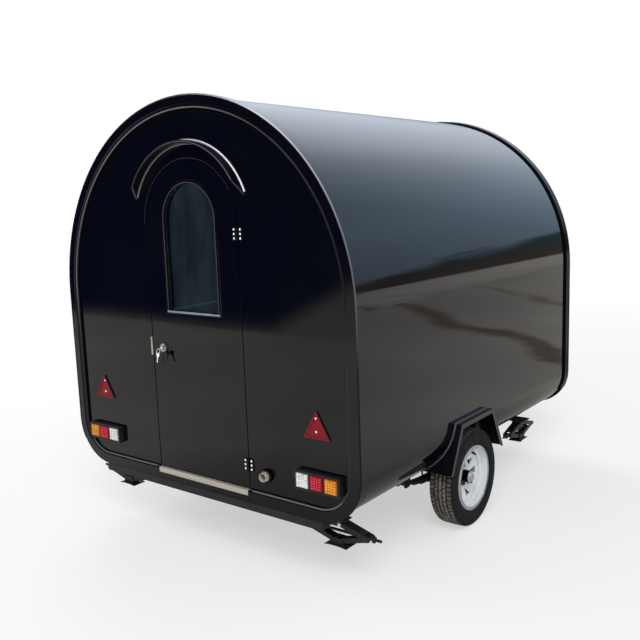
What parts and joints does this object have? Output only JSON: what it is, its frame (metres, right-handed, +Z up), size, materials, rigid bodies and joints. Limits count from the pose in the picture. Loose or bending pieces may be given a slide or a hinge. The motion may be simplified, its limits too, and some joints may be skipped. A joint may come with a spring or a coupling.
{
  "type": "food trailer",
  "caption": "Round-roofed food trailer with an arched rear door, a side serving hatch, a drawbar with jockey wheel and scissor stabiliser jacks.",
  "frame": {"origin": "on the ground under the middle of the trailer's overall length", "axes": "+X to the trailer's right, +Y forwards along the drawbar, +Z up"},
  "size_m": [2.06, 3.634, 2.3218],
  "materials": {
    "body_black": "gloss",
    "trim_black": "gloss",
    "inner_floor": "chequered sheet",
    "chassis_black": "satin",
    "fender_black": "satin",
    "jack_black": "satin",
    "zinc_steel": "zinc plated",
    "aluminium": "brushed",
    "chrome": "polished",
    "hinge_black": "satin",
    "glass": "tinted",
    "lamp_black": "moulded",
    "lamp_lens": "moulded lens",
    "reflector_red": "prismatic",
    "tyre_rubber": "dusty rubber",
    "wheel_white": "gloss",
    "jockey_rubber": "rubber"
  },
  "bodies": {
    "trailer": {"chassis_rails": "chassis_black", "chassis_beams": "chassis_black", "drawbar": "chassis_black", "coupler": "zinc_steel", "floor": "inner_floor", "right_shell": "body_black", "left_shell": "body_black", "rear_wall": "body_black", "front_wall": "body_black", "end_trims": "trim_black", "door_sill": "aluminium", "visor": "trim_black", "drain_outlet": "zinc_steel", "lamp_housings": "lamp_black", "lamp_lenses": "lamp_lens", "triangle_reflectors": "reflector_red", "wheel_boxes": "fender_black", "axle": "chassis_black", "leaf_springs": "chassis_black", "frame_brackets": "chassis_black", "jockey_tube": "zinc_steel", "wall_hinges": "hinge_black"},
    "door": {"door_leaf": "body_black", "door_glass": "glass", "door_lock": "chrome", "door_hinges": "hinge_black"},
    "hatch": {"hatch": "body_black", "hatch_hinges": "hinge_black"},
    "wheel_right": {"tyre_right": "tyre_rubber", "wheel_right": "wheel_white"},
    "wheel_left": {"tyre_left": "tyre_rubber", "wheel_left": "wheel_white"},
    "jockey_stem": {"jockey_stem": "zinc_steel"},
    "jockey_fork": {"jockey_fork": "zinc_steel"},
    "jockey_wheel": {"jockey_wheel": "jockey_rubber"},
    "jack_rear_right_upper_outer": {"jack_rear_right_upper_outer": "jack_black"},
    "jack_rear_right_upper_inner": {"jack_rear_right_upper_inner": "jack_black"},
    "jack_rear_right_lower_outer": {"jack_rear_right_lower_outer": "jack_black"},
    "jack_rear_right_lower_inner": {"jack_rear_right_lower_inner": "jack_black"},
    "jack_rear_right_foot": {"jack_rear_right_foot": "jack_black"},
    "jack_rear_right_screw": {"jack_rear_right_screw": "jack_black"},
    "jack_rear_left_upper_outer": {"jack_rear_left_upper_outer": "jack_black"},
    "jack_rear_left_upper_inner": {"jack_rear_left_upper_inner": "jack_black"},
    "jack_rear_left_lower_outer": {"jack_rear_left_lower_outer": "jack_black"},
    "jack_rear_left_lower_inner": {"jack_rear_left_lower_inner": "jack_black"},
    "jack_rear_left_foot": {"jack_rear_left_foot": "jack_black"},
    "jack_rear_left_screw": {"jack_rear_left_screw": "jack_black"},
    "jack_front_right_upper_outer": {"jack_front_right_upper_outer": "jack_black"},
    "jack_front_right_upper_inner": {"jack_front_right_upper_inner": "jack_black"},
    "jack_front_right_lower_outer": {"jack_front_right_lower_outer": "jack_black"},
    "jack_front_right_lower_inner": {"jack_front_right_lower_inner": "jack_black"},
    "jack_front_right_foot": {"jack_front_right_foot": "jack_black"},
    "jack_front_right_screw": {"jack_front_right_screw": "jack_black"},
    "jack_front_left_upper_outer": {"jack_front_left_upper_outer": "jack_black"},
    "jack_front_left_upper_inner": {"jack_front_left_upper_inner": "jack_black"},
    "jack_front_left_lower_outer": {"jack_front_left_lower_outer": "jack_black"},
    "jack_front_left_lower_inner": {"jack_front_left_lower_inner": "jack_black"},
    "jack_front_left_foot": {"jack_front_left_foot": "jack_black"},
    "jack_front_left_screw": {"jack_front_left_screw": "jack_black"}
  },
  "joints": [
    {"name": "door_hinge", "type": "hinge", "parent": "trailer", "child": "door", "pos_m": [0.3255, -1.782, 0.415], "axis": [0, 0, 1], "range_deg": [0, 110]},
    {"name": "hatch_hinge", "type": "hinge", "parent": "trailer", "child": "hatch", "pos_m": [-0.65492, -1.166, 2.07505], "axis": [0, 1, 0], "range_deg": [0, 80]},
    {"name": "wheel_right_spin", "type": "hinge", "parent": "trailer", "child": "wheel_right", "pos_m": [0.935, -0.707, 0.268], "axis": [1, 0, 0], "continuous": true},
    {"name": "wheel_left_spin", "type": "hinge", "parent": "trailer", "child": "wheel_left", "pos_m": [-0.935, -0.707, 0.268], "axis": [1, 0, 0], "continuous": true},
    {"name": "jockey_slide", "type": "slide", "parent": "trailer", "child": "jockey_stem", "axis": [0, 0, 1], "range_m": [0, 0.125]},
    {"name": "jockey_swivel", "type": "hinge", "parent": "jockey_stem", "child": "jockey_fork", "pos_m": [0, 1.384, 0.17], "axis": [0, 0, 1], "continuous": true},
    {"name": "jockey_spin", "type": "hinge", "parent": "jockey_fork", "child": "jockey_wheel", "pos_m": [0, 1.346, 0.07], "axis": [1, 0, 0], "continuous": true},
    {"name": "jack_rear_right_fold", "type": "hinge", "parent": "trailer", "child": "jack_rear_right_upper_outer", "pos_m": [0.784, -1.636, 0.296], "axis": [0, 1, 0], "range_deg": [0, 40.9]},
    {"name": "jack_rear_right_upper_inner_turn", "type": "hinge", "parent": "trailer", "child": "jack_rear_right_upper_inner", "pos_m": [0.74, -1.636, 0.296], "axis": [0, 1, 0], "range_deg": [-40.9, 0]},
    {"name": "jack_rear_right_lower_outer_turn", "type": "hinge", "parent": "jack_rear_right_upper_outer", "child": "jack_rear_right_lower_outer", "pos_m": [0.93811, -1.636, 0.253], "axis": [0, 1, 0], "range_deg": [-81.8, 0]},
    {"name": "jack_rear_right_lower_inner_turn", "type": "hinge", "parent": "jack_rear_right_upper_inner", "child": "jack_rear_right_lower_inner", "pos_m": [0.58589, -1.636, 0.253], "axis": [0, 1, 0], "range_deg": [0, 81.8]},
    {"name": "jack_rear_right_foot_turn", "type": "hinge", "parent": "jack_rear_right_lower_outer", "child": "jack_rear_right_foot", "pos_m": [0.784, -1.636, 0.21], "axis": [0, 1, 0], "range_deg": [0, 40.9]},
    {"name": "jack_rear_right_screw_turn", "type": "hinge", "parent": "jack_rear_right_upper_outer", "child": "jack_rear_right_screw", "pos_m": [0.93811, -1.636, 0.253], "axis": [0, 1, 0], "range_deg": [-40.9, 0]},
    {"name": "jack_rear_left_fold", "type": "hinge", "parent": "trailer", "child": "jack_rear_left_upper_outer", "pos_m": [-0.784, -1.636, 0.296], "axis": [0, -1, 0], "range_deg": [0, 40.9]},
    {"name": "jack_rear_left_upper_inner_turn", "type": "hinge", "parent": "trailer", "child": "jack_rear_left_upper_inner", "pos_m": [-0.74, -1.636, 0.296], "axis": [0, -1, 0], "range_deg": [-40.9, 0]},
    {"name": "jack_rear_left_lower_outer_turn", "type": "hinge", "parent": "jack_rear_left_upper_outer", "child": "jack_rear_left_lower_outer", "pos_m": [-0.93811, -1.636, 0.253], "axis": [0, -1, 0], "range_deg": [-81.8, 0]},
    {"name": "jack_rear_left_lower_inner_turn", "type": "hinge", "parent": "jack_rear_left_upper_inner", "child": "jack_rear_left_lower_inner", "pos_m": [-0.58589, -1.636, 0.253], "axis": [0, -1, 0], "range_deg": [0, 81.8]},
    {"name": "jack_rear_left_foot_turn", "type": "hinge", "parent": "jack_rear_left_lower_outer", "child": "jack_rear_left_foot", "pos_m": [-0.784, -1.636, 0.21], "axis": [0, -1, 0], "range_deg": [0, 40.9]},
    {"name": "jack_rear_left_screw_turn", "type": "hinge", "parent": "jack_rear_left_upper_outer", "child": "jack_rear_left_screw", "pos_m": [-0.93811, -1.636, 0.253], "axis": [0, -1, 0], "range_deg": [-40.9, 0]},
    {"name": "jack_front_right_fold", "type": "hinge", "parent": "trailer", "child": "jack_front_right_upper_outer", "pos_m": [0.818, 0.287, 0.296], "axis": [1, 0, 0], "range_deg": [0, 40.9]},
    {"name": "jack_front_right_upper_inner_turn", "type": "hinge", "parent": "trailer", "child": "jack_front_right_upper_inner", "pos_m": [0.818, 0.331, 0.296], "axis": [1, 0, 0], "range_deg": [-40.9, 0]},
    {"name": "jack_front_right_lower_outer_turn", "type": "hinge", "parent": "jack_front_right_upper_outer", "child": "jack_front_right_lower_outer", "pos_m": [0.818, 0.13289, 0.253], "axis": [1, 0, 0], "range_deg": [-81.8, 0]},
    {"name": "jack_front_right_lower_inner_turn", "type": "hinge", "parent": "jack_front_right_upper_inner", "child": "jack_front_right_lower_inner", "pos_m": [0.818, 0.48511, 0.253], "axis": [1, 0, 0], "range_deg": [0, 81.8]},
    {"name": "jack_front_right_foot_turn", "type": "hinge", "parent": "jack_front_right_lower_outer", "child": "jack_front_right_foot", "pos_m": [0.818, 0.287, 0.21], "axis": [1, 0, 0], "range_deg": [0, 40.9]},
    {"name": "jack_front_right_screw_turn", "type": "hinge", "parent": "jack_front_right_upper_outer", "child": "jack_front_right_screw", "pos_m": [0.818, 0.13289, 0.253], "axis": [1, 0, 0], "range_deg": [-40.9, 0]},
    {"name": "jack_front_left_fold", "type": "hinge", "parent": "trailer", "child": "jack_front_left_upper_outer", "pos_m": [-0.818, 0.287, 0.296], "axis": [1, 0, 0], "range_deg": [0, 40.9]},
    {"name": "jack_front_left_upper_inner_turn", "type": "hinge", "parent": "trailer", "child": "jack_front_left_upper_inner", "pos_m": [-0.818, 0.331, 0.296], "axis": [1, 0, 0], "range_deg": [-40.9, 0]},
    {"name": "jack_front_left_lower_outer_turn", "type": "hinge", "parent": "jack_front_left_upper_outer", "child": "jack_front_left_lower_outer", "pos_m": [-0.818, 0.13289, 0.253], "axis": [1, 0, 0], "range_deg": [-81.8, 0]},
    {"name": "jack_front_left_lower_inner_turn", "type": "hinge", "parent": "jack_front_left_upper_inner", "child": "jack_front_left_lower_inner", "pos_m": [-0.818, 0.48511, 0.253], "axis": [1, 0, 0], "range_deg": [0, 81.8]},
    {"name": "jack_front_left_foot_turn", "type": "hinge", "parent": "jack_front_left_lower_outer", "child": "jack_front_left_foot", "pos_m": [-0.818, 0.287, 0.21], "axis": [1, 0, 0], "range_deg": [0, 40.9]},
    {"name": "jack_front_left_screw_turn", "type": "hinge", "parent": "jack_front_left_upper_outer", "child": "jack_front_left_screw", "pos_m": [-0.818, 0.13289, 0.253], "axis": [1, 0, 0], "range_deg": [-40.9, 0]}
  ],
  "couplings": [
    {"joint": "jack_rear_right_upper_inner_turn", "follows": "jack_rear_right_fold", "ratio": -1},
    {"joint": "jack_rear_right_lower_outer_turn", "follows": "jack_rear_right_fold", "ratio": -2},
    {"joint": "jack_rear_right_lower_inner_turn", "follows": "jack_rear_right_fold", "ratio": 2},
    {"joint": "jack_rear_right_foot_turn", "follows": "jack_rear_right_fold", "ratio": 1},
    {"joint": "jack_rear_right_screw_turn", "follows": "jack_rear_right_fold", "ratio": -1},
    {"joint": "jack_rear_left_upper_inner_turn", "follows": "jack_rear_left_fold", "ratio": -1},
    {"joint": "jack_rear_left_lower_outer_turn", "follows": "jack_rear_left_fold", "ratio": -2},
    {"joint": "jack_rear_left_lower_inner_turn", "follows": "jack_rear_left_fold", "ratio": 2},
    {"joint": "jack_rear_left_foot_turn", "follows": "jack_rear_left_fold", "ratio": 1},
    {"joint": "jack_rear_left_screw_turn", "follows": "jack_rear_left_fold", "ratio": -1},
    {"joint": "jack_front_right_upper_inner_turn", "follows": "jack_front_right_fold", "ratio": -1},
    {"joint": "jack_front_right_lower_outer_turn", "follows": "jack_front_right_fold", "ratio": -2},
    {"joint": "jack_front_right_lower_inner_turn", "follows": "jack_front_right_fold", "ratio": 2},
    {"joint": "jack_front_right_foot_turn", "follows": "jack_front_right_fold", "ratio": 1},
    {"joint": "jack_front_right_screw_turn", "follows": "jack_front_right_fold", "ratio": -1},
    {"joint": "jack_front_left_upper_inner_turn", "follows": "jack_front_left_fold", "ratio": -1},
    {"joint": "jack_front_left_lower_outer_turn", "follows": "jack_front_left_fold", "ratio": -2},
    {"joint": "jack_front_left_lower_inner_turn", "follows": "jack_front_left_fold", "ratio": 2},
    {"joint": "jack_front_left_foot_turn", "follows": "jack_front_left_fold", "ratio": 1},
    {"joint": "jack_front_left_screw_turn", "follows": "jack_front_left_fold", "ratio": -1}
  ]
}
